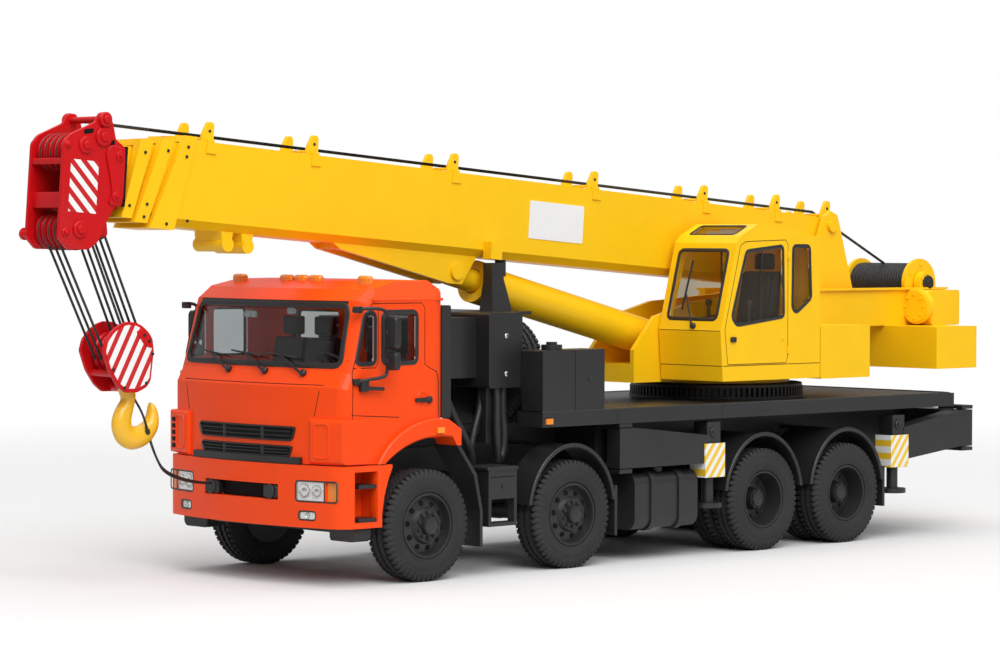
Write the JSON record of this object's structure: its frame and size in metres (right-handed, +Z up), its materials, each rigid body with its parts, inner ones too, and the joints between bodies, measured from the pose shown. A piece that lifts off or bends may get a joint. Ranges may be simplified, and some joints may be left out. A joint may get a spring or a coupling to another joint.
{
  "type": "truck-mounted telescopic crane, scale model",
  "caption": "Scale model of a truck-mounted crane: cab-over carrier, slewing turntable with operator's cab and winch, telescopic boom with lift cylinder, hook and swing-out outriggers.",
  "frame": {"origin": "middle of the bounding box, on the ground the tyres stand on", "axes": "+X towards the driver's cab and boom head, +Y to the vehicle's left, +Z up"},
  "size_m": [0.2706, 0.068, 0.0964],
  "materials": {
    "orange_paint": "gloss",
    "yellow_paint": "gloss",
    "red_paint": "gloss",
    "chassis_black": "satin",
    "deck_black": "satin",
    "trim_black": "satin",
    "wheel_black": "satin",
    "tyre_rubber": "matte",
    "cab_glass": "clear",
    "crane_glass": "tinted",
    "lamp_clear": "clear",
    "lamp_amber": "clear",
    "lamp_red": "clear",
    "interior_black": "matte",
    "rope_black": "braided",
    "hook_yellow": "gloss"
  },
  "bodies": {
    "carrier": {"chassis_frame": "chassis_black", "axle_housings": "chassis_black", "deck": "deck_black", "slewing_gear": "chassis_black", "cab_shell": "orange_paint", "cab_glass": "cab_glass", "cab_interior": "interior_black", "bumper": "orange_paint", "cab_steps": "trim_black", "lamps_clear": "lamp_clear", "lamps_amber": "lamp_amber", "lamps_red": "lamp_red", "grille": "trim_black", "mirrors": "trim_black", "mudguards": "chassis_black", "battery_boxes": "chassis_black", "fuel_tanks": "chassis_black", "equipment_box": "chassis_black", "air_intake": "chassis_black", "boom_rest": "chassis_black", "spare_wheel": "tyre_rubber", "tool_boxes": "chassis_black"},
    "axle_1": {"axle_1_wheels": "wheel_black", "axle_1_tyres": "tyre_rubber"},
    "axle_2": {"axle_2_wheels": "wheel_black", "axle_2_tyres": "tyre_rubber"},
    "axle_3": {"axle_3_wheels": "wheel_black", "axle_3_tyres": "tyre_rubber"},
    "axle_4": {"axle_4_wheels": "wheel_black", "axle_4_tyres": "tyre_rubber"},
    "outrigger_front_left": {"outrigger_front_left": "chassis_black"},
    "jack_front_left": {"jack_front_left": "chassis_black"},
    "outrigger_front_right": {"outrigger_front_right": "chassis_black"},
    "jack_front_right": {"jack_front_right": "chassis_black"},
    "outrigger_rear_left": {"outrigger_rear_left": "chassis_black"},
    "jack_rear_left": {"jack_rear_left": "chassis_black"},
    "outrigger_rear_right": {"outrigger_rear_right": "chassis_black"},
    "jack_rear_right": {"jack_rear_right": "chassis_black"},
    "turntable": {"turntable_base": "yellow_paint", "turntable_cheeks": "yellow_paint", "op_cab_shell": "yellow_paint", "op_cab_glass": "crane_glass", "op_cab_seat": "interior_black", "winch_frame": "yellow_paint", "counterweight": "yellow_paint"},
    "winch": {"winch_drum": "yellow_paint", "winch_rope": "rope_black"},
    "boom": {"boom_base": "yellow_paint", "boom_guides": "yellow_paint", "boom_brackets": "yellow_paint"},
    "section_2": {"boom_section_2": "yellow_paint"},
    "section_3": {"boom_section_3": "yellow_paint"},
    "section_4": {"boom_section_4": "yellow_paint", "boom_head": "red_paint"},
    "hook_group": {"rope_falls": "rope_black", "hook_block": "red_paint", "hook": "hook_yellow"},
    "lift_cylinder": {"lift_cylinder": "yellow_paint"},
    "lift_rod": {"lift_rod": "yellow_paint"}
  },
  "joints": [
    {"name": "axle_1_turn", "type": "hinge", "parent": "carrier", "child": "axle_1", "pos_m": [0.05615, 0, 0.01175], "axis": [0, 1, 0], "continuous": true},
    {"name": "axle_2_turn", "type": "hinge", "parent": "carrier", "child": "axle_2", "pos_m": [0.01355, 0, 0.01175], "axis": [0, 1, 0], "continuous": true},
    {"name": "axle_3_turn", "type": "hinge", "parent": "carrier", "child": "axle_3", "pos_m": [-0.04874, 0, 0.01175], "axis": [0, 1, 0], "continuous": true},
    {"name": "axle_4_turn", "type": "hinge", "parent": "carrier", "child": "axle_4", "pos_m": [-0.07805, 0, 0.01175], "axis": [0, 1, 0], "continuous": true},
    {"name": "slew", "type": "hinge", "parent": "carrier", "child": "turntable", "pos_m": [-0.06384, 0, 0.038], "axis": [0, 0, 1], "continuous": true},
    {"name": "winch_turn", "type": "hinge", "parent": "turntable", "child": "winch", "pos_m": [-0.12824, 0, 0.0606], "axis": [0, 1, 0], "continuous": true},
    {"name": "boom_lift", "type": "hinge", "parent": "turntable", "child": "boom", "pos_m": [-0.09705, 0, 0.0748], "axis": [0, -1, 0], "range_deg": [0, 60]},
    {"name": "cylinder_swing", "type": "hinge", "parent": "turntable", "child": "lift_cylinder", "pos_m": [-0.04784, 0, 0.0465], "axis": [0, -1, 0], "range_deg": [0, 67.5]},
    {"name": "rod_slide", "type": "slide", "parent": "lift_cylinder", "child": "lift_rod", "axis": [0.9718, 0, 0.2357], "range_m": [0, 0.0556]},
    {"name": "telescope_2", "type": "slide", "parent": "boom", "child": "section_2", "axis": [0.9972, 0, 0.0745], "range_m": [0, 0.105]},
    {"name": "telescope_3", "type": "slide", "parent": "section_2", "child": "section_3", "axis": [0.9972, 0, 0.0745], "range_m": [0, 0.106]},
    {"name": "telescope_4", "type": "slide", "parent": "section_3", "child": "section_4", "axis": [0.9972, 0, 0.0745], "range_m": [0, 0.106]},
    {"name": "hook_hang", "type": "hinge", "parent": "section_4", "child": "hook_group", "pos_m": [0.12971, 0, 0.07308], "axis": [0, -1, 0], "range_deg": [-33, 0]},
    {"name": "outrigger_front_left_swing", "type": "hinge", "parent": "carrier", "child": "outrigger_front_left", "pos_m": [-0.00334, 0.0266, 0.025], "axis": [0, 0, -1], "range_deg": [0, 75]},
    {"name": "outrigger_front_right_swing", "type": "hinge", "parent": "carrier", "child": "outrigger_front_right", "pos_m": [-0.00334, -0.0266, 0.025], "axis": [0, 0, 1], "range_deg": [0, 75]},
    {"name": "outrigger_rear_left_swing", "type": "hinge", "parent": "carrier", "child": "outrigger_rear_left", "pos_m": [-0.12384, 0.0266, 0.025], "axis": [0, 0, 1], "range_deg": [0, 75]},
    {"name": "outrigger_rear_right_swing", "type": "hinge", "parent": "carrier", "child": "outrigger_rear_right", "pos_m": [-0.12384, -0.0266, 0.025], "axis": [0, 0, -1], "range_deg": [0, 75]},
    {"name": "jack_front_left_slide", "type": "slide", "parent": "outrigger_front_left", "child": "jack_front_left", "axis": [0, 0, -1], "range_m": [0, 0.0102]},
    {"name": "jack_front_right_slide", "type": "slide", "parent": "outrigger_front_right", "child": "jack_front_right", "axis": [0, 0, -1], "range_m": [0, 0.0102]},
    {"name": "jack_rear_left_slide", "type": "slide", "parent": "outrigger_rear_left", "child": "jack_rear_left", "axis": [0, 0, -1], "range_m": [0, 0.0102]},
    {"name": "jack_rear_right_slide", "type": "slide", "parent": "outrigger_rear_right", "child": "jack_rear_right", "axis": [0, 0, -1], "range_m": [0, 0.0102]}
  ],
  "couplings": [
    {"joint": "cylinder_swing", "follows": "boom_lift", "ratio": 1.118},
    {"joint": "rod_slide", "follows": "boom_lift", "m_per_rad": 0.052928},
    {"joint": "telescope_3", "follows": "telescope_2", "ratio": 1},
    {"joint": "telescope_4", "follows": "telescope_2", "ratio": 1},
    {"joint": "hook_hang", "follows": "boom_lift", "ratio": -0.5417}
  ]
}
